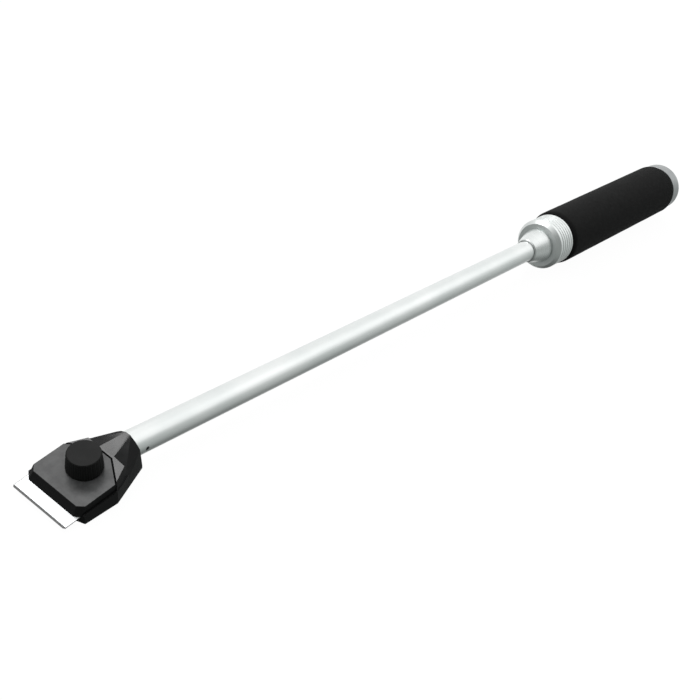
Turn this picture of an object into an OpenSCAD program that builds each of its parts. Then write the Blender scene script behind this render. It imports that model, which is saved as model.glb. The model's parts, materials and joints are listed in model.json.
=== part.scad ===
// Long handled scraper for car glass. A thin steel blade is clamped in a plastic
// head by a thumb knob. The slim tube slides into a foam grip and a turning
// collar locks it. All sizes are millimetres. X runs along the tube from the
// blade to the grip, Y is across the blade and Z is up on the knob side.

/* [Blade] */
// Width of the blade across the head
blade_w = 38; // [36:0.5:40]
// Depth of the blade from cutting edge to back
blade_l = 19; // [18:0.5:20]
// Thickness of the blade
blade_t = 0.4; // [0.3:0.05:0.5]
// Length of blade that stands out of the head
blade_out = 8; // [7:0.1:9]
// Cut across the blade's front corners
blade_clip = 0.9; // [0.5:0.1:1.5]
// Thickness left at the cutting edge
blade_edge = 0.06; // [0.04:0.01:0.1]

/* [Head] */
// Slope of the deck against the tube, in degrees
deck_tilt = 14; // [12:0.5:16]
// Length of the deck from the plate's front edge to the rear face
deck_l = 48.7; // [47:0.1:51]
// Height of the deck plane over the tube axis at the rear face
deck_rise = 6.85; // [6.5:0.05:7.2]
// Length of deck between the plate and the neck ridge
deck_strip = 1.7; // [1:0.1:2.5]
// Inset of the raised deck's edge from the side wall
deck_inset = 2.6; // [1.5:0.1:3]
// Depth of the drafted wall under the blade bed
draft_drop = 2.5; // [2:0.1:3]
// Length of the lip under the blade
lip = 2.8; // [2:0.1:3.4]
// Thickness of the lip at its front
lip_t = 1.6; // [1:0.1:2.2]
// Slope of the bevel under the lip, in degrees
lip_slope = 42; // [36:1:48]
// Width of the lip beyond each end of the plate's front edge
lip_side = 0.9; // [0.5:0.1:1.3]
// Place of the base's front corners behind the plate's front edge
base_corner = 0.7; // [0.2:0.1:1.5]
// Thickness of the rims beside the blade
rim_t = 1.35; // [1:0.05:2]
// Height of the rims over the blade bed
rim_h = 1.2; // [0.8:0.1:1.6]
// Thickness of the base under the blade bed at the front
sole_t = 5.2; // [4.6:0.1:6]
// Slope of the sole against the deck, in degrees
sole_tilt = 6.8; // [6:0.2:8]
// Wall of the neck over the tube
neck_wall = 0.9; // [0.8:0.1:2.2]
// Wall of the neck beside the tube
neck_side = 1.2; // [1:0.1:2]
// Spread of the neck's side walls from their top to the sole
neck_flare = 1.5; // [1:0.1:2]
// Height of the neck's side walls over the tube axis
side_h = 3.4; // [2.8:0.1:4]
// Angle of the bend in the neck's flanks around the tube, in degrees
flank_bend = 52; // [48:1:56]
// Width of the neck ridge at its front
ridge_w = 10.2; // [8:0.1:11]
// Width of the neck ridge at its rear
ridge_end_w = 3.6; // [2:0.1:4]
// Depth of the neck flanks under the deck at their front
flank_drop = 1.6; // [1:0.2:5]

/* [Clamp plate] */
// Length of the clamp plate
plate_l = 32.2; // [31.5:0.1:33]
// Length of the plate to the start of its rear bevels
plate_side = 22.5; // [22:0.1:23.5]
// Thickness of the clamp plate
plate_t = 5; // [4.5:0.1:5.5]
// Width of the plate's front edge
plate_front_w = 31.4; // [29:0.2:33]
// Width of the plate's rear edge
plate_rear_w = 10; // [8:0.2:12]
// Length of the plate's front corners
plate_corner = 3; // [2:0.1:4]
// Setback of the plate's foot behind the lip
plate_back = 0.2; // [0.1:0.05:0.4]

/* [Knob] */
// Place of the knob axis behind the plate's front edge
knob_at = 19.4; // [18:0.1:20]
// Diameter of the knob at its base
knob_d = 19.4; // [18:0.2:21]
// Diameter of the knob at its top
knob_top_d = 17.8; // [15:0.2:18]
// Height of the knob
knob_h = 10.6; // [8.5:0.1:11]
// Bevel on the knob's edges
knob_edge = 0.5; // [0.3:0.1:0.8]
// Number of grip flutes around the knob
knob_flutes = 24; // [12:1:24]
// Diameter of a flute
flute_d = 1.6; // [1.6:0.1:2.4]
// Depth of a flute
flute_cut = 0.25; // [0.2:0.05:0.6]
// Thickness of the knob over the end of its screw
knob_roof = 3; // [2:0.1:4]
// Diameter of the clamp screw
stud_d = 5; // [4:0.5:6]
// Diameter of the washer under the knob
washer_d = 12; // [11:0.5:13]
// Thickness of the washer under the knob
washer_t = 1; // [0.8:0.1:1.2]
// Depth of the washer's recess
washer_sink = 0.8; // [0.5:0.1:1]
// Thickness of the nut under the head
nut_t = 3.6; // [3.2:0.1:3.8]
// Wall of the nut at its flats
nut_wall = 1.5; // [1.2:0.1:1.8]
// Thickness of the base between the blade bed and the nut
base_web = 3; // [2.6:0.1:3.4]

/* [Tube] */
// Outside diameter of the tube
tube_d = 15; // [14:0.1:16]
// Wall of the tube
tube_wall = 1.2; // [1:0.1:1.5]
// Length of tube seen between the head and the collar
tube_show = 405; // [300:1:520]
// Depth of the tube's seat in the head
tube_seat = 3.4; // [3:0.1:4]
// Length of the head's spigot inside the tube
spigot_l = 24; // [18:0.5:32]
// Place of the cross pin behind the head
pin_at = 6.4; // [5:0.1:9]
// Diameter of the pins
pin_d = 2.4; // [2:0.1:3]
// Wall of the hollow spring pins
pin_wall = 0.5; // [0.4:0.05:0.6]
// Depth of a pin's end under the surface around it
pin_sink = 0.15; // [0.1:0.05:0.3]
// Length of the guide bush at the tube's rear end
bush_l = 15; // [12:0.5:17]
// Thickness of the bush behind the tube
bush_floor = 3; // [2:0.1:4]
// Gap between the ferrule and the bush at full reach
bush_gap = 0.4; // [0.3:0.1:1]

/* [Collar] */
// Length of the collar's cone and bevel
nose_l = 21; // [20:0.1:23]
// Wall of the cone at its tip
nose_wall = 1; // [0.9:0.1:1.6]
// Length of the nose's plain bore
nose_land = 3; // [2:0.1:4]
// Height of the cone's wide end over the tube
cone_rise = 5.2; // [3.6:0.1:5.6]
// Width of the groove behind the cone
neck_w = 1.4; // [0.8:0.1:1.4]
// Depth of the groove behind the cone
neck_d = 1.2; // [0.4:0.1:1.6]
// Length of the bevel in front of the ring
bevel_l = 3.3; // [2.5:0.1:4]
// Wall of the collar at the front of the bevel
bevel_wall = 3.4; // [2.8:0.1:3.8]
// Length of the grooved ring
ring_l = 17.9; // [16:0.1:19]
// Diameter of the grooved ring
ring_d = 37.4; // [36.5:0.1:39]
// Bevel on the ring's rear edge
ring_edge = 0.4; // [0.2:0.1:0.8]
// Number of grooves in the ring
ring_grooves = 5; // [3:1:6]
// Depth of the ring's grooves
groove_d = 0.35; // [0.2:0.05:0.5]
// Width of the ring's grooves
groove_w = 0.9; // [0.6:0.1:1.2]
// Length of the collar's hollow in front of the ring
hollow_l = 0.8; // [0.4:0.1:1.4]

/* [Lock] */
// Thickness of the slip ring
slip_t = 1.4; // [1:0.1:1.6]
// Thickness of the collet's flange
flange_t = 2.5; // [2:0.1:3]
// Depth of the collet's jaws behind the tip of the cone
jaw_in = 5; // [4.6:0.1:6]
// Wall of the jaws at their root
jaw_t = 1.5; // [1.2:0.1:1.8]
// Wall of the jaws at their tip
jaw_tip_t = 0.6; // [0.5:0.05:0.8]
// Length of the jaws' tapered part
jaw_l = 11.4; // [10.8:0.1:12]
// Width of the slots between the jaws
slot_w = 0.8; // [0.6:0.1:1]
// Height of the ferrule's shoulder over its thread
thread_step = 1; // [0.8:0.1:1.2]
// Thickness of the ferrule's shoulder
shoulder_t = 2.1; // [1.6:0.1:2.6]
// Length of the ferrule's plug inside the grip tube
plug_l = 20; // [16:0.5:22]

/* [Grip] */
// Diameter of the foam
foam_d = 40.6; // [39.5:0.1:42]
// Length of the foam
foam_l = 178.4; // [174:0.2:200]
// Radius on the ends of the foam
foam_round = 4.5; // [3:0.1:6]
// Outside diameter of the grip tube
core_d = 28; // [27:0.1:29]
// Wall of the grip tube
core_wall = 1.5; // [1.2:0.1:1.8]
// Diameter of the end cap
cap_d = 38.2; // [36:0.2:39]
// Length of the end cap behind the foam
cap_l = 14.5; // [12:0.1:18]
// Radius on the end cap's edge
cap_round = 5; // [3:0.1:6]
// Length of the end cap's plug
cap_plug = 16; // [14:0.5:17]
// Wall of the end cap's hollow plug
cap_wall = 2.4; // [2:0.1:3]
// Thickness of the end cap's rear wall
cap_floor = 3; // [2.4:0.1:4]
// Wall under the ferrule's pin
pin_floor = 1; // [0.8:0.1:1.4]

/* [Fits] */
// Gap between fixed round pieces
seat_gap = 0.05; // [0.03:0.01:0.08]
// Gap between round pieces that slide or turn
run_gap = 0.08; // [0.06:0.01:0.1]
// Gap over and under the blade
blade_gap = 0.03; // [0.02:0.01:0.05]
// Gap beside the blade and the plate
side_gap = 0.15; // [0.1:0.05:0.2]
// Gap of the parting line behind the plate
part_gap = 0.5; // [0.4:0.05:0.7]
// Gap around what passes freely through
pass_gap = 0.3; // [0.25:0.05:0.4]
// Gap between the slip ring and the collet
lock_gap = 0.15; // [0.1:0.05:0.2]
// Gap between the collar and the foam
foam_gap = 0.5; // [0.4:0.1:1]

/* [Hidden] */
$fn = 96;

// Thickness of a loft's end slices
thin = 0.02;

// Heights in the deck frame, down from the deck plane
rest_n = -plate_t;
blade_top = rest_n - blade_gap;
blade_low = blade_top - blade_t;
bed_n = blade_low - blade_gap;
rim_n = bed_n + rim_h;
sole_n = bed_n - sole_t;
draft_n = bed_n - draft_drop;

// Half widths of the head, and a reach that clears all of it
blade_hw = blade_w / 2;
rim_in = blade_hw + side_gap;
base_hw = rim_in + rim_t;
lip_hw = plate_front_w / 2 + lip_side;
tube_r = tube_d / 2;
neck_r = tube_r + neck_wall;
neck_hw = tube_r + neck_side + neck_flare;
reach = 3 * base_hw;

// Places along the deck
tip_s = -lip - blade_out;
back_s = tip_s + blade_l;
stop_s = back_s + side_gap;
ramp_s = plate_l + deck_strip;
taper = (base_hw - neck_hw) / (deck_l - plate_side);
ramp_hw = base_hw - (ramp_s - plate_side) * taper;
deck_hw = ramp_hw - deck_inset;
flank_hw = deck_hw - deck_inset * flank_drop / draft_n;
foot_s = plate_back - lip + (base_corner + lip) * (blade_hw - lip_hw) / (base_hw - lip_hw);

// Edge of the plate's rear bevel and of the seat that follows it
bevel = (plate_rear_w / 2 - blade_hw) / (plate_l - plate_side);
bevel_len = sqrt(1 + bevel * bevel);
seat_s = plate_l + part_gap;
seat_hw = plate_rear_w / 2 + part_gap * (bevel_len + bevel);
seat_out = seat_s + (reach - seat_hw) / bevel;

// Clamp screw, from the knob down to the nut
knob_n = washer_t - washer_sink;
stud_r = stud_d / 2;
stud_top = knob_n + knob_h - knob_roof;
nut_top = bed_n - base_web;
nut_low = nut_top - nut_t;
nut_r = (stud_r + nut_wall) / cos(30);

// Radii of the tube, the lock and the grip
tube_ir = tube_r - tube_wall;
slide_r = tube_r + run_gap;
jaw_r = tube_r + jaw_t;
jaw_tip_r = tube_r + jaw_tip_t;
core_r = core_d / 2;
core_ir = core_r - core_wall;
plug_r = core_ir - seat_gap;
hollow_r = plug_r - cap_wall;
bush_r = core_ir - run_gap;
thread_r = core_r - thread_step;
pin_r = pin_d / 2;
pin_hole = pin_r + seat_gap;

// Places along the tube, from the head's rear face to the end cap
nose_x = tube_show;
jaw_x = nose_x + jaw_in;
cone_x = jaw_x + jaw_l;
ring_x = nose_x + nose_l;
wall_x = ring_x - hollow_l;
flange_x = wall_x + slip_t + lock_gap;
face_x = flange_x + flange_t;
ring_end = ring_x + ring_l;
shoulder_x = ring_end + pass_gap;
core_x = shoulder_x + shoulder_t;
ferrule_end = core_x + plug_l;
bush_x = ferrule_end + bush_gap;
bush_end = bush_x + bush_l;
tube_end = bush_end - bush_floor;
foam_x = ring_end + foam_gap;
foam_end = foam_x + foam_l;
cap_end = foam_end + cap_l;
ferrule_pin_x = core_x + plug_l / 2;
bush_pin_x = bush_x + bush_l / 2;
cap_pin_x = foam_end - cap_plug / 2;

// Middle of the whole length and height of the tube axis over the ground
tip_x = (tip_s - deck_l) * cos(deck_tilt) - (blade_top + deck_rise) * sin(deck_tilt);
mid_x = (tip_x + cap_end) / 2;
axis_z = foam_d / 2;

// Puts tube coordinates into the part's frame
module place() {
    translate([-mid_x, 0, axis_z]) children();
}

// Puts deck coordinates into tube coordinates
module deck() {
    rotate([0, -deck_tilt, 0]) translate([-deck_l, 0, deck_rise]) children();
}

// A flat outline in deck coordinates, mirrored across the middle
module both(points, low, high) {
    translate([0, 0, low]) linear_extrude(high - low) {
        polygon(points);
        mirror([0, 1]) polygon(points);
    }
}

// A thin slice across the deck from half of its outline
module slice(s, half) {
    translate([s, 0, 0]) rotate([90, 0, 90]) linear_extrude(thin) {
        polygon(half);
        mirror([1, 0]) polygon(half);
    }
}

// A block under a slope that falls to the rear from one point of the deck frame
module under(s, n, slope) {
    translate([s, 0, n]) rotate([0, slope, 0])
        translate([-reach, -reach, -2 * reach]) cube([3 * reach, 2 * reach, 2 * reach]);
}

// A round hole down through the deck at the knob
module knob_hole(low, r) {
    translate([knob_at, 0, low]) cylinder(h = 2 * reach, r = r);
}

// A round rod along the tube axis
module rod(x0, x1, r) {
    translate([x0, 0, 0]) rotate([0, 90, 0]) cylinder(h = x1 - x0, r = r);
}

// A round rod across the tube axis
module cross(x, half, r) {
    translate([x, half, 0]) rotate([90, 0, 0]) cylinder(h = 2 * half, r = r);
}

// A round rod standing up from a height over the tube axis
module post(x, low, high, r) {
    translate([x, 0, low]) cylinder(h = high - low, r = r);
}

// A profile of length and radius turned about the tube axis
module turned() {
    rotate([0, 90, 0]) rotate_extrude() mirror([1, -1]) children();
}

module blade() {
    ground_s = tip_s + blade_clip;
    body = [[ground_s, 0], [ground_s, blade_hw], [back_s, blade_hw], [back_s, 0]];
    edge = [[tip_s, 0], [tip_s, blade_hw - blade_clip], [ground_s, blade_hw], [ground_s, 0]];
    color([0.86, 0.87, 0.88]) place() deck() {
        both(body, blade_low, blade_top);
        intersection() {
            both(edge, blade_low, blade_top);
            rotate([90, 0, 0]) linear_extrude(blade_w, center = true)
                polygon([[tip_s, blade_top - blade_edge], [tip_s, blade_top],
                    [back_s, blade_top], [back_s, blade_low], [ground_s, blade_low]]);
        }
    }
}

// Plan of the head at the blade bed, from one place along the deck to the neck
module base_plan(low, high, s0) {
    front = [[-lip, 0], [-lip, lip_hw], [base_corner, base_hw], [plate_side, base_hw],
        [ramp_s, ramp_hw], [ramp_s, 0]];
    intersection() {
        both(front, low, high);
        translate([s0, -reach, low]) cube([2 * reach, 2 * reach, high - low]);
    }
}

// Raised deck behind the plate, with drafted sides
module rear_deck() {
    top = [[plate_side, 0], [plate_side, blade_hw], [ramp_s, deck_hw], [ramp_s, 0]];
    low = [[plate_side, 0], [plate_side, base_hw], [ramp_s, ramp_hw], [ramp_s, 0]];
    difference() {
        hull() {
            both(top, -thin, 0);
            both(low, draft_n, draft_n + thin);
        }
        both([[-reach, 0], [-reach, reach], [seat_out, reach], [seat_s, seat_hw], [seat_s, 0]],
            rest_n, reach);
    }
}

// Height on the head's rear face, in deck coordinates, from one over the tube axis
function rear_n(z) = z / cos(deck_tilt) - deck_rise;

// Faceted neck from the deck to a roof around the tube
module neck() {
    hull() {
        slice(ramp_s - thin, [[0, 0], [ridge_w / 2, 0], [flank_hw, -flank_drop],
            [ramp_hw, draft_n], [ramp_hw, -reach], [0, -reach]]);
        slice(deck_l - thin, [[0, rear_n(neck_r)], [ridge_end_w / 2, rear_n(neck_r)],
            [neck_r * cos(flank_bend), rear_n(neck_r * sin(flank_bend))],
            [tube_r + neck_side, rear_n(side_h)], [neck_hw, rear_n(-tube_r)],
            [neck_hw, -reach], [0, -reach]]);
    }
}

module head_base() {
    color([0.1, 0.1, 0.11]) place() {
        difference() {
            deck() difference() {
                union() {
                    base_plan(-reach, bed_n, -reach);
                    base_plan(bed_n, rest_n, stop_s);
                    difference() {
                        base_plan(bed_n, rim_n, base_corner);
                        translate([-reach, -rim_in, 2 * bed_n])
                            cube([3 * reach, 2 * rim_in, reach]);
                    }
                    rear_deck();
                    neck();
                }
                under(0, sole_n, sole_tilt);
                under(-lip, bed_n - lip_t, lip_slope);
                knob_hole(-reach, stud_r + pass_gap);
                translate([knob_at, 0, nut_top - reach]) rotate(30)
                    cylinder(h = reach, r = nut_r + seat_gap, $fn = 6);
            }
            rod(-tube_seat, reach, tube_r + seat_gap);
        }
        difference() {
            rod(-tube_seat - bush_floor, spigot_l, tube_ir - seat_gap);
            cross(pin_at, tube_d, pin_hole);
        }
    }
}

module clamp_plate() {
    top = [[0, 0], [0, plate_front_w / 2], [plate_corner, blade_hw], [plate_side, blade_hw],
        [plate_l, plate_rear_w / 2], [plate_l, 0]];
    foot = [[plate_back - lip, 0], [plate_back - lip, lip_hw - plate_back],
        [foot_s, blade_hw], [plate_side, blade_hw], [plate_l, plate_rear_w / 2], [plate_l, 0]];
    color([0.16, 0.16, 0.17]) place() deck() difference() {
        hull() {
            both(top, -thin, 0);
            both(foot, rest_n, rest_n + thin);
        }
        knob_hole(-reach, stud_r + pass_gap);
        knob_hole(-washer_sink, washer_d / 2 + seat_gap);
    }
}

module clamp_knob() {
    base_r = knob_d / 2;
    top_r = knob_top_d / 2;
    lean = atan((base_r - top_r) / knob_h);
    color([0.07, 0.07, 0.08]) place() deck() translate([knob_at, 0, knob_n]) difference() {
        rotate_extrude() polygon([[0, 0], [base_r - knob_edge, 0], [base_r, knob_edge],
            [top_r, knob_h - knob_edge], [top_r - knob_edge, knob_h], [0, knob_h]]);
        for (i = [0 : knob_flutes - 1])
            rotate(i * 360 / knob_flutes) translate([base_r + flute_d / 2 - flute_cut, 0, 0])
                rotate([0, -lean, 0]) translate([0, 0, -knob_h])
                    cylinder(h = 3 * knob_h, d = flute_d);
        translate([0, 0, -knob_h]) cylinder(h = 2 * knob_h - knob_roof, r = stud_r + seat_gap);
    }
}

module knob_stud() {
    color([0.6, 0.61, 0.62]) place() deck() translate([knob_at, 0, nut_low])
        cylinder(h = stud_top - nut_low, r = stud_r);
}

module knob_washer() {
    color([0.65, 0.66, 0.67]) place() deck() difference() {
        translate([knob_at, 0, -washer_sink]) cylinder(h = washer_t, d = washer_d);
        knob_hole(-reach, stud_r + pass_gap);
    }
}

module clamp_nut() {
    color([0.6, 0.61, 0.62]) place() deck() difference() {
        translate([knob_at, 0, nut_low]) rotate(30) cylinder(h = nut_t, r = nut_r, $fn = 6);
        knob_hole(-reach, stud_r + run_gap);
    }
}

module shaft_tube() {
    color([0.84, 0.85, 0.86]) place() difference() {
        rod(-tube_seat, tube_end, tube_r);
        rod(-reach, tube_end + reach, tube_ir);
        cross(pin_at, tube_d, pin_hole);
        cross(bush_pin_x, tube_d, pin_hole);
    }
}

// A hollow spring pin across the tube
module spring_pin(x, half) {
    color([0.3, 0.31, 0.32]) place() difference() {
        cross(x, half - pin_sink, pin_r);
        cross(x, half, pin_r - pin_wall);
    }
}

module cross_pin() {
    spring_pin(pin_at, tube_r);
}

module guide_bush() {
    color([0.13, 0.13, 0.14]) place() difference() {
        rod(bush_x, bush_end, bush_r);
        rod(bush_x - bush_l, tube_end, tube_r + seat_gap);
        cross(bush_pin_x, core_r, pin_hole);
    }
}

module guide_pin() {
    spring_pin(bush_pin_x, bush_r);
}

module lock_collar() {
    pitch = ring_l / (ring_grooves + 1);
    bevel_x = ring_x - bevel_l;
    neck_x = bevel_x - neck_w;
    cone_r = tube_r + cone_rise;
    ring_r = ring_d / 2;
    color([0.8, 0.81, 0.82]) place() difference() {
        turned() polygon([[nose_x, tube_r + pass_gap], [nose_x, tube_r + nose_wall],
            [neck_x, cone_r], [neck_x, cone_r - neck_d], [bevel_x, cone_r - neck_d],
            [bevel_x, thread_r + bevel_wall], [ring_x, ring_r], [ring_end - ring_edge, ring_r],
            [ring_end, ring_r - ring_edge], [ring_end, thread_r + run_gap],
            [wall_x, thread_r + run_gap], [wall_x, jaw_r + pass_gap],
            [cone_x, jaw_r + pass_gap], [jaw_x, jaw_tip_r + pass_gap],
            [nose_x + nose_land, jaw_tip_r + pass_gap],
            [nose_x + nose_land, tube_r + pass_gap]]);
        for (i = [1 : ring_grooves])
            turned() translate([ring_x + i * pitch - groove_w / 2, ring_r - groove_d])
                square([groove_w, ring_r]);
    }
}

module slip_ring() {
    color([0.85, 0.84, 0.8]) place() difference() {
        rod(wall_x, wall_x + slip_t, thread_r);
        rod(nose_x, ring_end, jaw_r + pass_gap);
    }
}

module collet() {
    flange_r = thread_r - pass_gap;
    color([0.2, 0.2, 0.22]) place() difference() {
        turned() polygon([[jaw_x, slide_r], [jaw_x, jaw_tip_r], [cone_x, jaw_r],
            [flange_x, jaw_r], [flange_x, flange_r], [face_x, flange_r], [face_x, slide_r]]);
        for (a = [45 : 90 : 315])
            rotate([a, 0, 0]) translate([nose_x, -slot_w / 2, 0])
                cube([flange_x - slip_t - nose_x, slot_w, thread_r]);
    }
}

module ferrule() {
    color([0.72, 0.73, 0.74]) place() difference() {
        union() {
            rod(face_x, core_x, thread_r);
            rod(shoulder_x, core_x, core_r);
            rod(shoulder_x, ferrule_end, plug_r);
        }
        rod(nose_x, bush_end, slide_r);
        post(ferrule_pin_x, tube_r + pin_floor, reach, pin_hole);
    }
}

module ferrule_pin() {
    color([0.3, 0.31, 0.32]) place()
        post(ferrule_pin_x, tube_r + pin_floor, core_r - pin_sink, pin_r);
}

module grip_tube() {
    color([0.7, 0.71, 0.72]) place() difference() {
        rod(core_x, foam_end, core_r);
        rod(nose_x, cap_end, core_ir);
        post(ferrule_pin_x, 0, reach, pin_hole);
        post(cap_pin_x, 0, reach, pin_hole);
    }
}

module foam_grip() {
    r = foam_round;
    outer = foam_d / 2;
    color([0.09, 0.09, 0.09]) place() difference() {
        turned() {
            translate([foam_x, 0]) square([foam_l, outer - r]);
            translate([foam_x + r, 0]) square([foam_l - 2 * r, outer]);
            translate([foam_x + r, outer - r]) circle(r);
            translate([foam_end - r, outer - r]) circle(r);
        }
        rod(nose_x, cap_end, core_r + seat_gap);
    }
}

module end_cap() {
    r = cap_round;
    outer = cap_d / 2;
    color([0.62, 0.63, 0.64]) place() difference() {
        turned() {
            translate([foam_end - cap_plug, 0]) square([cap_plug + cap_l, plug_r]);
            translate([foam_end, 0]) square([cap_l - r, outer]);
            translate([foam_end, 0]) square([cap_l, outer - r]);
            translate([cap_end - r, outer - r]) circle(r);
        }
        rod(nose_x, cap_end - cap_floor, hollow_r);
        post(cap_pin_x, 0, reach, pin_hole);
    }
}

module cap_pin() {
    color([0.3, 0.31, 0.32]) place()
        post(cap_pin_x, hollow_r + pin_sink, core_r - pin_sink, pin_r);
}

blade();
head_base();
clamp_plate();
clamp_knob();
knob_stud();
knob_washer();
clamp_nut();
shaft_tube();
cross_pin();
guide_bush();
guide_pin();
lock_collar();
slip_ring();
collet();
ferrule();
ferrule_pin();
grip_tube();
foam_grip();
end_cap();
cap_pin();
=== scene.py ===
"""Looks of a long handled blade scraper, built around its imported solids."""

import json
import math
from collections import namedtuple

import bmesh
import bpy
from mathutils import Matrix, Vector, noise


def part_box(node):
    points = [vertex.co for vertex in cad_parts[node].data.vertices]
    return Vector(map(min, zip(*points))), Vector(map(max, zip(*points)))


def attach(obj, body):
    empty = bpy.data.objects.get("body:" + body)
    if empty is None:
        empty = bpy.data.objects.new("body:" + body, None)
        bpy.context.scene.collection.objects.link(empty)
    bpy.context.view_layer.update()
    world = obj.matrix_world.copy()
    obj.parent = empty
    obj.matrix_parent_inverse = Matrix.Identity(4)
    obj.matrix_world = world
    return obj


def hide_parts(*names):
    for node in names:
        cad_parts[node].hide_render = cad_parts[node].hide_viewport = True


# Camera of the photograph, in metres and degrees, with its lens and sensor in millimetres
CAMERA_AT = Vector((-0.71361, -0.33933, 0.45272))
CAMERA_TO = Vector((-0.09528, 0.0, 0.00829))
CAMERA_ROLL = 17.568
CAMERA_LENS = 68.556
CAMERA_SENSOR = 36.0
CAMERA_NEAR = 0.01

# Studio: heights straight down and straight up, brightness of the sky between them, and its tints
SKY_HEIGHTS = (-1.0, 1.0)
SKY_STEPS = ((-1.0, 0.08), (-0.7, 0.16), (-0.5, 0.28), (-0.2, 0.44), (0.05, 0.55),
             (0.22, 0.66), (0.38, 0.90), (0.55, 1.16), (0.88, 1.16), (1.0, 0.78))
SKY_TINT_DIM = (0.92, 1.0, 0.97)
SKY_TINT = (0.99, 1.0, 0.995)

# Studio: a pale backdrop on the far side and a dark room on the near side, and where each fades in
FAR_SIDE = (0.7, 0.7, 0.0)
FAR_FADE = (0.3, 0.8)
FAR_PALE = (0.86, 0.87, 0.865)
NEAR_SIDE = (-0.35, -0.9, 0.25)
NEAR_FADE = (0.46, 0.66)
NEAR_DARK = (0.32, 0.34, 0.33)

# Studio: strength of the light from the blade's end and from the grip's end, and where it changes
FRONT_FADE = (0.0, 0.9)
FRONT_SHARE = (0.75, 1.15)

# Studio: a strip softbox over the far side, in metres
BOX_TOWARDS = Vector((0.12, 0.53, 0.84))
BOX_FAR = 1.7
BOX_LONG = 0.75
BOX_WIDE = 0.40
BOX_BRIGHT = 9.5

# Paper white, and the floor's size in metres, its own glow and how much of the light it takes
PAPER = (1.0, 1.0, 1.0, 1.0)
FLOOR_SIZE = 12.0
FLOOR_GLOW = 0.97
FLOOR_TAKES = 0.06

# Foam sleeve, in metres: rounding of its ends, gap on its tube, depth of its dents, length of a step
FOAM_ROUND = 0.0045
FOAM_SEAT = 0.00005
FOAM_DENT = 0.00022
FOAM_STEP = 0.0025

# Foam sleeve: sides around it, steps in a rounded end and least sharp angle in degrees
FOAM_TURN = 128
FOAM_ARC = 8
FOAM_SHARP = 50.0

# Foam's dents: their mean, then for coarse and fine ones the cells per metre, cells around and share
FOAM_MEAN = 0.5
FOAM_WAVES = ((45.0, 1.2, 0.38), (190.0, 4.5, 0.2))

# Rounded copies: metres within which points are welded, degrees within which faces are joined
WELD = 0.000001
FLAT = 0.4

# Rounded copies: least turn of a sharp edge in degrees, and least area in square metres and least
# turn of a sharp facet
SHARP = 30.0
FACET = 0.000025
FACET_TURN = 3.0

# Rounded copies: rounding and depth of the collar's front rim, steps in a rounding, and how far
# large faces keep their own shading
NOSE_ROUND = 0.0008
NOSE_REACH = 0.0002
ROUND_STEPS = 3
FACE_WEIGHT = 100

# Rounded copies: rounding of each piece's edges in metres, and least area of the faces beside them
# in square metres
ROUNDED = {"head_base": (0.0003, 0.0000065), "clamp_plate": (0.0003, 0.0000065),
           "clamp_knob": (0.0002, 0.0), "lock_collar": (0.00015, 0.0), "end_cap": (0.0003, 0.0)}

# Deck of the head: slope in degrees, how squarely its faces look up from it, how deep they reach
DECK_TILT = 14.0
# Faces these find take the deck tint of painted light; the rest take the wall tint of painted shade
DECK_LOOKS = (0.88, 0.96)
DECK_DEPTH = 0.004

# Directions along the tube to the grip and across to the blade's two ends
TO_GRIP = (1.0, 0.0, 0.0)
TO_ENDS = ((0.0, -1.0, 0.0), (0.0, 1.0, 0.0))

# Whole range of a factor, and the ranges of noise that are stretched over a tint or a roughness
FULL = (0.0, 1.0)
NARROW = (0.35, 0.65)
WIDE = (0.3, 0.7)

# Noise and pores: cells per metre along each axis, levels of detail, strength of the finer ones
Cloud = namedtuple("Cloud", "cells detail rough")
TUBE_MARKS = Cloud((14.0, 1500.0, 1500.0), 5.0, 0.6)
TUBE_HAZE = Cloud((30.0, 60.0, 60.0), 3.0, 0.55)
TURNED_LINES = Cloud((5200.0, 6.0, 6.0), 3.0, 0.7)
TURNED_HAZE = Cloud((90.0, 90.0, 90.0), 4.0, 0.55)
PLASTIC_HAZE = Cloud((160.0, 160.0, 160.0), 4.0, 0.55)
PLASTIC_SPARK = Cloud((2600.0, 2600.0, 2600.0), 3.0, 0.6)
FOAM_LUMPS = Cloud((260.0, 260.0, 260.0), 5.0, 0.6)
BLADE_MARKS = Cloud((90.0, 3800.0, 90.0), 4.0, 0.6)
STEEL_HAZE = Cloud((700.0, 700.0, 700.0), 4.0, 0.55)
FOAM_PORES = (1500.0, 1500.0, 1500.0)

# Relief: strength of a bump and its depth in metres
Relief = namedtuple("Relief", "strength depth")
TUBE_RELIEF = Relief(0.05, 0.00003)
TURNED_RELIEF = Relief(0.2, 0.00004)
SPARK_RELIEF = Relief(0.35, 0.00004)
KNOB_RELIEF = Relief(0.3, 0.00004)
NYLON_RELIEF = Relief(0.08, 0.00004)
LUMP_RELIEF = Relief(0.35, 0.0004)
PORE_RELIEF = Relief(0.5, 0.00025)
BLADE_RELIEF = Relief(0.04, 0.00002)
STEEL_RELIEF = Relief(0.1, 0.00004)

# Finish: dark tint, light tint and range of roughness
Finish = namedtuple("Finish", "dark light rough")
# Wall and knob side tints are darker than deck and knob top tints: painted shade and painted light
SHADED_BLACK_WALLS = Finish((0.0028, 0.0028, 0.0032), (0.0048, 0.0048, 0.0052), (0.68, 0.80))
LIT_HEAD_DECK = Finish((0.006, 0.006, 0.0065), (0.010, 0.010, 0.0105), (0.16, 0.21))
LIT_PLATE_DECK = Finish((0.070, 0.070, 0.071), (0.130, 0.130, 0.131), (0.40, 0.48))
SHADED_KNOB_SIDE = Finish((0.0026, 0.0026, 0.0026), (0.004, 0.004, 0.004), (0.72, 0.82))
LIT_KNOB_TOP = Finish((0.007, 0.007, 0.007), (0.011, 0.011, 0.011), (0.62, 0.72))
NYLON = Finish((0.10, 0.10, 0.11), (0.14, 0.14, 0.15), (0.40, 0.50))
SATIN_TUBE = Finish((0.80, 0.825, 0.82), (0.87, 0.885, 0.88), (0.27, 0.37))
TURNED_COLLAR = Finish((0.86, 0.885, 0.88), (0.93, 0.95, 0.945), (0.36, 0.48))
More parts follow.
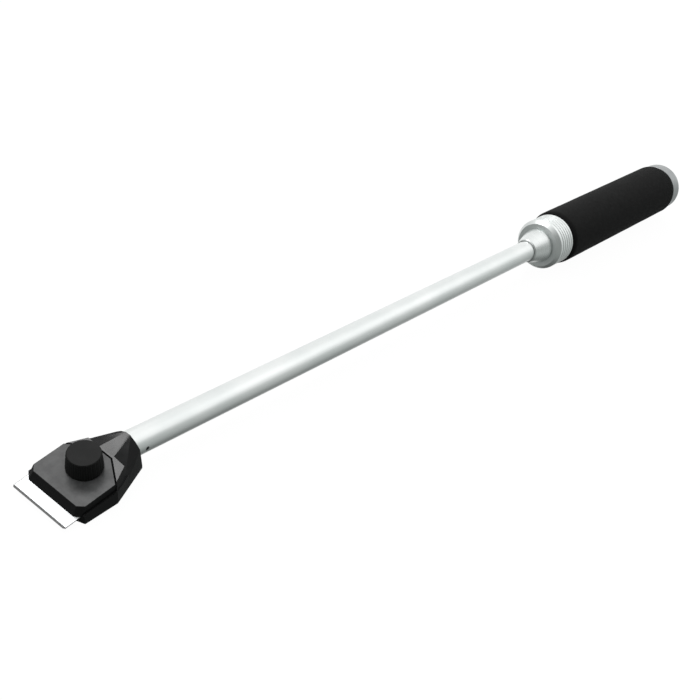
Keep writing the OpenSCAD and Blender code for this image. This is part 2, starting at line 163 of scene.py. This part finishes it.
TURNED_CAP = Finish((0.33, 0.34, 0.345), (0.41, 0.42, 0.425), (0.28, 0.42))
BLADE_STEEL = Finish((0.62, 0.63, 0.64), (0.70, 0.71, 0.72), (0.45, 0.55))
FASTENER_STEEL = Finish((0.52, 0.53, 0.55), (0.66, 0.67, 0.68), (0.26, 0.42))
PIN_STEEL = Finish((0.12, 0.125, 0.13), (0.2, 0.205, 0.21), (0.35, 0.5))

# Plastics: edge tint (part wear, part painted highlight), range that the deck's spark texture is held
# to, and gloss
PLASTIC_EDGE_WEAR_AND_HIGHLIGHT = (0.022, 0.022, 0.0225)
DECK_GRAIN = (0.4, 0.6)
PLASTIC_GLOSS = 0.25

# Foam: tints, roughness and gloss
FOAM_DARK = (0.0045, 0.0045, 0.0046)
FOAM_LIGHT = (0.009, 0.009, 0.0092)
FOAM_ROUGH = 0.88
FOAM_GLOSS = 0.18

# Edges: widths of the rims on metal and plastic, how far a normal turns over them, and samples
METAL_EDGE = 0.00025
PLASTIC_EDGE = 0.0003
EDGE_TURN = (0.995, 0.90)
EDGE_SAMPLES = 6

# Turned metal: roughness and length of the collar's smooth cone, and a place ahead of the whole cap
SMOOTH_TURNED = (0.24, 0.34)
CONE_LENGTH = 0.0165
AHEAD_OF_CAP = 0.0

# Turned metal: range and share of its dark lines, their tint, and the edge tint, part wear and part
# painted highlight
LINE_SPREAD = (0.25, 0.55)
LINE_SHARE = (0.3, 0.0)
LINE_DARK = (0.45, 0.47, 0.465)
METAL_EDGE_WEAR_AND_HIGHLIGHT = (0.93, 0.94, 0.94)

# Blade: widths of its rough edge and end strips, their tint of painted shade, and their roughness
GROUND_AND_SHADE_WIDTH = 0.0013
END_WIDTH = 0.0002
GROUND_PAINTED_SHADE = (0.13, 0.13, 0.13)
GROUND_ROUGH = 0.6

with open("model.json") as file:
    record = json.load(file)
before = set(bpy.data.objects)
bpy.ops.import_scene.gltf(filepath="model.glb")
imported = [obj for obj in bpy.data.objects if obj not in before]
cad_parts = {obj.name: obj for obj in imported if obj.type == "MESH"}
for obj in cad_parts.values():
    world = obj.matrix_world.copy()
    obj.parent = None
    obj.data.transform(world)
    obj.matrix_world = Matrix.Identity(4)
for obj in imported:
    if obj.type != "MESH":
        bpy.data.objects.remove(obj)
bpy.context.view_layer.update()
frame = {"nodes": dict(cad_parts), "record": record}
nodes = frame["nodes"]
body_of = {n: b for b, members in frame["record"]["behaviour"]["bodies"].items() for n in members}
slot_of = {s["node"]: s["material_slot"] for s in frame["record"]["subparts"]}


# Camera, light and floor


def placed(name, data):
    """A new object in the scene."""
    thing = bpy.data.objects.new(name, data)
    bpy.context.scene.collection.objects.link(thing)
    return thing


def make_camera():
    """The photograph's camera, turned about its own view axis."""
    data = bpy.data.cameras.new("camera")
    data.lens = CAMERA_LENS
    data.sensor_width = CAMERA_SENSOR
    data.sensor_fit = "HORIZONTAL"
    data.clip_start = CAMERA_NEAR
    camera = placed("camera", data)
    level = (CAMERA_TO - CAMERA_AT).to_track_quat("-Z", "Y").to_matrix()
    turned = level @ Matrix.Rotation(math.radians(CAMERA_ROLL), 3, "Z")
    camera.matrix_world = Matrix.Translation(CAMERA_AT) @ turned.to_4x4()
    bpy.context.scene.camera = camera


def make_sky():
    """The studio room as the part's light, with paper in the camera's own view."""
    world = bpy.data.worlds.new("studio")
    world.use_nodes = True
    bpy.context.scene.world = world
    tree = world.node_tree
    tree.nodes.clear()
    paper = tree.nodes.new("ShaderNodeBackground")
    paper.inputs["Color"].default_value = PAPER
    seen = tree.nodes.new("ShaderNodeLightPath")
    either = tree.nodes.new("ShaderNodeMixShader")
    tree.links.new(seen.outputs["Is Camera Ray"], either.inputs["Fac"])
    tree.links.new(room_light(tree), either.inputs[1])
    tree.links.new(paper.outputs["Background"], either.inputs[2])
    out = tree.nodes.new("ShaderNodeOutputWorld")
    tree.links.new(either.outputs["Shader"], out.inputs["Surface"])


def room_light(tree):
    """Light of the room: dim below, pale behind the part, dark near the camera."""
    where = tree.nodes.new("ShaderNodeTexCoord").outputs["Generated"]
    split = tree.nodes.new("ShaderNodeSeparateXYZ")
    tree.links.new(where, split.inputs["Vector"])
    colour = sky_colour(tree, split.outputs["Z"])
    for side, fade, paint in ((FAR_SIDE, FAR_FADE, FAR_PALE), (NEAR_SIDE, NEAR_FADE, NEAR_DARK)):
        share = ranged(tree, towards(tree, where, side), fade, FULL, "SMOOTHSTEP")
        colour = mixed(tree, share, colour, paint)
    glow = tree.nodes.new("ShaderNodeBackground")
    strength = ranged(tree, split.outputs["X"], FRONT_FADE, FRONT_SHARE, "SMOOTHSTEP")
    tree.links.new(colour, glow.inputs["Color"])
    tree.links.new(strength, glow.inputs["Strength"])
    return glow.outputs["Background"]


def sky_colour(tree, height):
    """Colour of the sky by height."""
    low, high = SKY_HEIGHTS
    ramp = tree.nodes.new("ShaderNodeValToRGB")
    stops = ramp.color_ramp.elements
    while len(stops) < len(SKY_STEPS):
        stops.new(1.0)
    for stop, (z, bright) in zip(stops, SKY_STEPS):
        light = min(1.0, bright)
        tint = [d + (t - d) * light for d, t in zip(SKY_TINT_DIM, SKY_TINT)]
        stop.position = (z - low) / (high - low)
        stop.color = (*(bright * t for t in tint), 1.0)
    tree.links.new(ranged(tree, height, SKY_HEIGHTS, FULL), ramp.inputs["Fac"])
    return ramp.outputs["Color"]


def make_softbox():
    """A strip softbox that the deck and the ridge of the head mirror."""
    low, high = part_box("clamp_plate")
    target = (low + high) / 2
    data = bpy.data.lights.new("softbox", "AREA")
    data.shape = "RECTANGLE"
    data.size = BOX_LONG
    data.size_y = BOX_WIDE
    data.energy = BOX_BRIGHT * math.pi * BOX_LONG * BOX_WIDE
    box = placed("softbox", data)
    away = BOX_TOWARDS.normalized()
    box.matrix_world = Matrix.Translation(target + away * BOX_FAR)
    box.matrix_world @= away.to_track_quat("Z", "Y").to_matrix().to_4x4()


def make_floor():
    """A pale floor through the lowest edges of the head and the foam, seen by the camera alone."""
    foam_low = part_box("foam_grip")[0]
    foot = Vector((foam_low.x + FOAM_ROUND, 0.0, foam_low.z))
    toe = min((v.co for v in nodes["head_base"].data.vertices), key=lambda p: p.z)
    slope = math.atan2(toe.z - foot.z, foot.x - toe.x)
    half = FLOOR_SIZE / 2
    corners = [(-half, -half, 0.0), (half, -half, 0.0), (half, half, 0.0), (-half, half, 0.0)]
    mesh = bpy.data.meshes.new("floor")
    mesh.from_pydata(corners, [], [(0, 1, 2, 3)])
    floor = placed("floor", mesh)
    floor.matrix_world = Matrix.Translation(foot) @ Matrix.Rotation(slope, 4, "Y")
    floor.visible_glossy = False
    floor.visible_diffuse = False
    floor.visible_shadow = False
    mesh.materials.append(floor_paint())


def floor_paint():
    """Paper white that glows a little, so that shadows stay faint."""
    material, tree, shader = new_material("floor_paper")
    shader.inputs["Base Color"].default_value = (FLOOR_TAKES, FLOOR_TAKES, FLOOR_TAKES, 1.0)
    shader.inputs["Roughness"].default_value = 1.0
    shader.inputs["Specular IOR Level"].default_value = 0.0
    shader.inputs["Emission Color"].default_value = PAPER
    shader.inputs["Emission Strength"].default_value = FLOOR_GLOW
    return material


# Shader helpers


def new_material(name):
    """An empty material with one main shader."""
    material = bpy.data.materials.new(name)
    material.use_nodes = True
    tree = material.node_tree
    tree.nodes.clear()
    out = tree.nodes.new("ShaderNodeOutputMaterial")
    shader = tree.nodes.new("ShaderNodeBsdfPrincipled")
    tree.links.new(shader.outputs["BSDF"], out.inputs["Surface"])
    return material, tree, shader


def finished(tree, shader, colour, rough, normal):
    """Gives a shader its colour, roughness and bump."""
    tree.links.new(colour, shader.inputs["Base Color"])
    tree.links.new(rough, shader.inputs["Roughness"])
    tree.links.new(normal, shader.inputs["Normal"])


def stretched(tree, scale):
    """Part coordinates times a factor for each axis."""
    where = tree.nodes.new("ShaderNodeTexCoord")
    factor = tree.nodes.new("ShaderNodeMapping")
    factor.inputs["Scale"].default_value = scale
    tree.links.new(where.outputs["Object"], factor.inputs["Vector"])
    return factor.outputs["Vector"]


def cloud(tree, kind):
    """Noise over the part."""
    texture = tree.nodes.new("ShaderNodeTexNoise")
    texture.inputs["Scale"].default_value = 1.0
    texture.inputs["Detail"].default_value = kind.detail
    texture.inputs["Roughness"].default_value = kind.rough
    tree.links.new(stretched(tree, kind.cells), texture.inputs["Vector"])
    return texture.outputs["Fac"]


def pores(tree, cells):
    """Distance to the nearest pore, with cells per metre along each axis."""
    texture = tree.nodes.new("ShaderNodeTexVoronoi")
    texture.inputs["Scale"].default_value = 1.0
    tree.links.new(stretched(tree, cells), texture.inputs["Vector"])
    return texture.outputs["Distance"]


def ranged(tree, value, old, new, steps="LINEAR"):
    """A value moved from one range to another."""
    change = tree.nodes.new("ShaderNodeMapRange")
    change.interpolation_type = steps
    change.inputs["From Min"].default_value = old[0]
    change.inputs["From Max"].default_value = old[1]
    change.inputs["To Min"].default_value = new[0]
    change.inputs["To Max"].default_value = new[1]
    tree.links.new(value, change.inputs["Value"])
    return change.outputs["Result"]


def mixed(tree, factor, first, second, kind="RGBA"):
    """One of two colours, or of two numbers for the kind FLOAT, by a factor."""
    blend = tree.nodes.new("ShaderNodeMix")
    blend.data_type = kind
    tree.links.new(factor, blend.inputs["Factor"])
    for socket, given in ((blend.inputs["A"], first), (blend.inputs["B"], second)):
        if isinstance(given, tuple):
            socket.default_value = (*given, 1.0)
        elif isinstance(given, float):
            socket.default_value = given
        else:
            tree.links.new(given, socket)
    return blend.outputs["Result"]


def tinted(tree, texture, spread, finish):
    """A colour between the two tints of a finish, by a texture."""
    return mixed(tree, ranged(tree, texture, spread, FULL), finish.dark, finish.light)


def relief(tree, height, form, under=None):
    """A bump from a height, over another bump if there is one."""
    bump = tree.nodes.new("ShaderNodeBump")
    bump.inputs["Strength"].default_value = form.strength
    bump.inputs["Distance"].default_value = form.depth
    tree.links.new(height, bump.inputs["Height"])
    if under:
        tree.links.new(under, bump.inputs["Normal"])
    return bump.outputs["Normal"]


def towards(tree, direction, side):
    """How far a direction points to one side."""
    share = tree.nodes.new("ShaderNodeVectorMath")
    share.operation = "DOT_PRODUCT"
    share.inputs[1].default_value = side
    tree.links.new(direction, share.inputs[0])
    return share.outputs["Value"]


def beyond(tree, direction, limit):
    """One where a point of the part lies further along a direction than a limit."""
    where = tree.nodes.new("ShaderNodeTexCoord")
    past = tree.nodes.new("ShaderNodeMath")
    past.operation = "GREATER_THAN"
    past.inputs[1].default_value = limit
    tree.links.new(towards(tree, where.outputs["Object"], direction), past.inputs[0])
    return past.outputs["Value"]


def edge_mask(tree, width):
    """One at sharp edges and zero on open faces."""
    rounded = tree.nodes.new("ShaderNodeBevel")
    rounded.samples = EDGE_SAMPLES
    rounded.inputs["Radius"].default_value = width
    facing = tree.nodes.new("ShaderNodeNewGeometry")
    same = tree.nodes.new("ShaderNodeVectorMath")
    same.operation = "DOT_PRODUCT"
    tree.links.new(rounded.outputs["Normal"], same.inputs[0])
    tree.links.new(facing.outputs["Normal"], same.inputs[1])
    return ranged(tree, same.outputs["Value"], EDGE_TURN, FULL)


def deck_up():
    """Direction that the deck of the head faces."""
    tilt = math.radians(DECK_TILT)
    return Vector((-math.sin(tilt), 0.0, math.cos(tilt)))


def deck_ahead():
    """Direction along the deck, in which the blade stands out of the head."""
    tilt = math.radians(DECK_TILT)
    return Vector((-math.cos(tilt), 0.0, -math.sin(tilt)))


def lit_deck_mask(tree, name):
    """One on a solid's upper faces that look up from the deck, zero on side walls; it gives the upper
    faces their satin finish and a lighter tint, which is painted light, and the walls a darker tint,
    which is painted shade.
    """
    facing = tree.nodes.new("ShaderNodeTexCoord")
    level = towards(tree, facing.outputs["Normal"], deck_up())
    top = max(v.co.dot(deck_up()) for v in nodes[name].data.vertices)
    both = tree.nodes.new("ShaderNodeMath")
    both.operation = "MULTIPLY"
    tree.links.new(ranged(tree, level, DECK_LOOKS, FULL), both.inputs[0])
    tree.links.new(beyond(tree, deck_up(), top - DECK_DEPTH), both.inputs[1])
    return both.outputs["Value"]


# Materials


def satin_tube():
    """Anodised tube with long drawing marks."""
    material, tree, shader = new_material("satin_tube")
    marks = cloud(tree, TUBE_MARKS)
    tint = tinted(tree, cloud(tree, TUBE_HAZE), NARROW, SATIN_TUBE)
    rough = ranged(tree, marks, WIDE, SATIN_TUBE.rough)
    shader.inputs["Metallic"].default_value = 1.0
    finished(tree, shader, tint, rough, relief(tree, marks, TUBE_RELIEF))
    return material


def turned_metal(name, finish, front):
    """Turned aluminium with fine lines around the tube axis, smoother in front of a place."""
    material, tree, shader = new_material(name)
    lines = cloud(tree, TURNED_LINES)
    tint = tinted(tree, cloud(tree, TURNED_HAZE), NARROW, finish)
    streaked = mixed(tree, ranged(tree, lines, LINE_SPREAD, LINE_SHARE), tint, LINE_DARK)
    # Bright edges: partly wear, partly a painted highlight where edges catch light
    bright = mixed(tree, edge_mask(tree, METAL_EDGE), streaked, METAL_EDGE_WEAR_AND_HIGHLIGHT)
    smooth = ranged(tree, lines, WIDE, SMOOTH_TURNED)
    plain = ranged(tree, lines, WIDE, finish.rough)
    rough = mixed(tree, beyond(tree, TO_GRIP, front), smooth, plain, "FLOAT")
    shader.inputs["Metallic"].default_value = 1.0
    finished(tree, shader, bright, rough, relief(tree, lines, TURNED_RELIEF))
    return material


def cone_end():
    """Place along the tube where the collar's cone ends."""
    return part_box("lock_collar")[0].x + CONE_LENGTH


def moulded(name, solid, walls, deck, spark):
    """Moulded plastic: a satin deck tinted lighter as painted light, walls tinted darker as painted
    shade and with a spark texture, and paler edges that are partly wear and partly a painted highlight.
    """
    material, tree, shader = new_material(name)
    haze = cloud(tree, PLASTIC_HAZE)
    fine = cloud(tree, PLASTIC_SPARK)
    up = lit_deck_mask(tree, solid)
    # Deck faces get the lighter tint of painted light, walls the darker tint of painted shade
    tint = mixed(tree, up, tinted(tree, haze, NARROW, walls), tinted(tree, haze, NARROW, deck))
    # Paler edges: partly wear, partly a painted highlight where edges catch light
    edges = mixed(tree, edge_mask(tree, PLASTIC_EDGE), tint, PLASTIC_EDGE_WEAR_AND_HIGHLIGHT)
    wall_rough = ranged(tree, haze, WIDE, walls.rough)
    deck_rough = ranged(tree, haze, WIDE, deck.rough)
    rough = mixed(tree, up, wall_rough, deck_rough, "FLOAT")
    grain = mixed(tree, up, fine, ranged(tree, fine, FULL, DECK_GRAIN), "FLOAT")
    shader.inputs["Specular IOR Level"].default_value = PLASTIC_GLOSS
    finished(tree, shader, edges, rough, relief(tree, grain, spark))
    return material


def foam_skin():
    """Black closed cell foam with fine pores and soft lumps."""
    material, tree, shader = new_material("foam_skin")
    lumps = cloud(tree, FOAM_LUMPS)
    tint = mixed(tree, ranged(tree, lumps, WIDE, FULL), FOAM_DARK, FOAM_LIGHT)
    soft = relief(tree, lumps, LUMP_RELIEF)
    porous = relief(tree, pores(tree, FOAM_PORES), PORE_RELIEF, soft)
    tree.links.new(tint, shader.inputs["Base Color"])
    tree.links.new(porous, shader.inputs["Normal"])
    shader.inputs["Roughness"].default_value = FOAM_ROUGH
    shader.inputs["Specular IOR Level"].default_value = FOAM_GLOSS
    return material


def blade_steel():
    """Ground steel with fine marks, and rough strips along its edge and at its ends, tinted dark as
    painted shade.
    """
    material, tree, shader = new_material("blade_steel")
    marks = cloud(tree, BLADE_MARKS)
    points = [v.co for v in nodes["blade"].data.vertices]
    ahead = deck_ahead()
    edge = max(p.dot(ahead) for p in points) - GROUND_AND_SHADE_WIDTH
    end = max(p.y for p in points) - END_WIDTH
    steel = tinted(tree, marks, WIDE, BLADE_STEEL)
    rough = ranged(tree, marks, WIDE, BLADE_STEEL.rough)
    # Strips along the edge and at the ends: rougher ground steel, tinted dark as painted shade
    for side, limit in ((ahead, edge), *((to_end, end) for to_end in TO_ENDS)):
        strip = beyond(tree, side, limit)
        steel = mixed(tree, strip, steel, GROUND_PAINTED_SHADE)
        rough = mixed(tree, strip, rough, GROUND_ROUGH, "FLOAT")
    shader.inputs["Metallic"].default_value = 1.0
    finished(tree, shader, steel, rough, relief(tree, marks, BLADE_RELIEF))
    return material


def plain_metal(name, finish):
    """Small steel hardware with a mottled finish."""
    material, tree, shader = new_material(name)
    haze = cloud(tree, STEEL_HAZE)
    tint = tinted(tree, haze, NARROW, finish)
    rough = ranged(tree, haze, WIDE, finish.rough)
    shader.inputs["Metallic"].default_value = 1.0
    finished(tree, shader, tint, rough, relief(tree, haze, STEEL_RELIEF))
    return material


def make_materials():
    """One material for each slot of the record."""
    return {
        "blade_steel": blade_steel(),
        "head_plastic": moulded("head_plastic", "head_base", SHADED_BLACK_WALLS, LIT_HEAD_DECK, SPARK_RELIEF),
        "plate_plastic": moulded("plate_plastic", "clamp_plate", SHADED_BLACK_WALLS, LIT_PLATE_DECK, SPARK_RELIEF),
        "knob_plastic": moulded("knob_plastic", "clamp_knob", SHADED_KNOB_SIDE, LIT_KNOB_TOP, KNOB_RELIEF),
        "fastener_steel": plain_metal("fastener_steel", FASTENER_STEEL),
        "pin_steel": plain_metal("pin_steel", PIN_STEEL),
        "tube_aluminium": satin_tube(),
        "collar_aluminium": turned_metal("collar_aluminium", TURNED_COLLAR, cone_end()),
        "cap_aluminium": turned_metal("cap_aluminium", TURNED_CAP, AHEAD_OF_CAP),
        "slide_plastic": moulded("slide_plastic", "slip_ring", NYLON, NYLON, NYLON_RELIEF),
        "grip_foam": foam_skin(),
    }


# Pieces


def dress(piece, material):
    """Gives a piece one material."""
    piece.data.materials.clear()
    piece.data.materials.append(material)


def stand_for(piece, name):
    """Lets a piece stand for a solid, on its body."""
    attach(piece, body_of[name])
    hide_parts(name)


def nose_rim(shape, axis):
    """Edges of a turned shape's outer front rim."""
    front = min(v.co.x for v in shape.verts) + NOSE_REACH
    far = {v: (v.co - axis).yz.length for v in shape.verts if v.co.x < front}
    middle = (min(far.values()) + max(far.values())) / 2
    return {e for e in shape.edges if all(far.get(v, 0.0) > middle for v in e.verts)}


def mark_edges(shape, name, width, least):
    """Marks a shape's sharp edges and those to be rounded, but none that the sliding tube hides."""
    low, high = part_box("shaft_tube")
    axis = Vector((0.0, 0.0, (low.z + high.z) / 2))
    outer = (high.z - low.z) / 2
    weight = shape.edges.layers.float.new("bevel_weight_edge")
    nose = nose_rim(shape, axis) if name == "lock_collar" else set()
    for edge in shape.edges:
        turn = math.degrees(edge.calc_face_angle(0.0))
        area = min((face.calc_area() for face in edge.link_faces), default=0.0)
        hidden = all(low.x < v.co.x and (v.co - axis).yz.length < outer for v in edge.verts)
        edge.smooth = turn < SHARP and not (area > FACET and turn > FACET_TURN)
        if turn >= SHARP and area >= least and not hidden:
            edge[weight] = 1.0 if edge in nose else width / NOSE_ROUND


def rounded_mesh(name, width, least):
    """A copy of a solid's mesh with its flat faces joined and its edges marked."""
    mesh = nodes[name].data.copy()
    mesh.name = name + "_rounded"
    shape = bmesh.new()
    shape.from_mesh(mesh)
    bmesh.ops.remove_doubles(shape, verts=shape.verts, dist=WELD)
    bmesh.ops.dissolve_limit(shape, angle_limit=math.radians(FLAT), verts=shape.verts,
                             edges=shape.edges)
    mark_edges(shape, name, width, least)
    shape.to_mesh(mesh)
    shape.free()
    if "custom_normal" in mesh.attributes:
        mesh.attributes.remove(mesh.attributes["custom_normal"])
    mesh.shade_smooth()
    return mesh


def rounded_copy(name, width, least):
    """A piece that stands for a solid, with the sharp edges of its larger faces rounded."""
    piece = placed(name + "_rounded", rounded_mesh(name, width, least))
    edges = piece.modifiers.new("edges", "BEVEL")
    edges.width = NOSE_ROUND
    edges.segments = ROUND_STEPS
    edges.limit_method = "WEIGHT"
    edges.use_clamp_overlap = False
    faces = piece.modifiers.new("faces", "WEIGHTED_NORMAL")
    faces.weight = FACE_WEIGHT
    faces.keep_sharp = True
    stand_for(piece, name)
    return piece


def foam_profile(front, rear, outer, inner):
    """Outline of the foam's wall: places along the tube axis and radii."""
    turns = [math.radians(90.0 * i / FOAM_ARC) for i in range(FOAM_ARC + 1)]
    arc = [(FOAM_ROUND * (1.0 - math.cos(t)), FOAM_ROUND * (1.0 - math.sin(t))) for t in turns]
    length = rear - front - 2.0 * FOAM_ROUND
    steps = max(1, round(length / FOAM_STEP))
    points = [(front, inner)]
    points += [(front + a, outer - b) for a, b in arc]
    points += [(front + FOAM_ROUND + length * i / steps, outer) for i in range(1, steps)]
    points += [(rear - b, outer - a) for a, b in arc]
    points.append((rear, inner))
    return points


def foam_dent(x, turn):
    """How far the foam's skin is pressed in at a place, never more than its full depth."""
    amount = FOAM_MEAN
    for along, around, share in FOAM_WAVES:
        at = Vector((x * along, math.cos(turn) * around, math.sin(turn) * around))
        amount += share * noise.noise(at)
    return FOAM_DENT * min(1.0, max(0.0, amount))


def foam_mesh(profile, inner, axis):
    """The foam's wall turned about the tube axis, its outer skin pressed in unevenly."""
    shape = bmesh.new()
    rings = []
    for x, radius in profile:
        ring = []
        for i in range(FOAM_TURN):
            turn = 2.0 * math.pi * i / FOAM_TURN
            r = radius - foam_dent(x, turn) if radius > inner else radius
            ring.append(shape.verts.new((x, r * math.cos(turn), axis + r * math.sin(turn))))
        rings.append(ring)
    for a, b in zip(rings, rings[1:] + rings[:1]):
        for i in range(FOAM_TURN):
            j = (i + 1) % FOAM_TURN
            shape.faces.new((a[i], b[i], b[j], a[j]))
    bmesh.ops.recalc_face_normals(shape, faces=shape.faces)
    mesh = bpy.data.meshes.new("foam_sleeve")
    shape.to_mesh(mesh)
    shape.free()
    mesh.shade_smooth()
    mesh.set_sharp_from_angle(angle=math.radians(FOAM_SHARP))
    return mesh


def make_foam():
    """The foam sleeve: a soft lathe form with rounded ends and a slightly uneven skin."""
    low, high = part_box("foam_grip")
    tube_low, tube_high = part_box("grip_tube")
    outer = (high.z - low.z) / 2
    inner = (tube_high.z - tube_low.z) / 2 + FOAM_SEAT
    profile = foam_profile(low.x, high.x, outer, inner)
    foam = placed("foam_sleeve", foam_mesh(profile, inner, (high.z + low.z) / 2))
    stand_for(foam, "foam_grip")
    return foam


def make_pieces(materials):
    """Dresses every solid, with rounded copies where edges show."""
    for name, solid in nodes.items():
        dress(solid, materials[slot_of[name]])
    for name, (width, least) in ROUNDED.items():
        dress(rounded_copy(name, width, least), materials[slot_of[name]])
    dress(make_foam(), materials[slot_of["foam_grip"]])


make_camera()
make_sky()
make_softbox()
make_floor()
make_pieces(make_materials())
bpy.context.scene.view_settings.view_transform = "Standard"
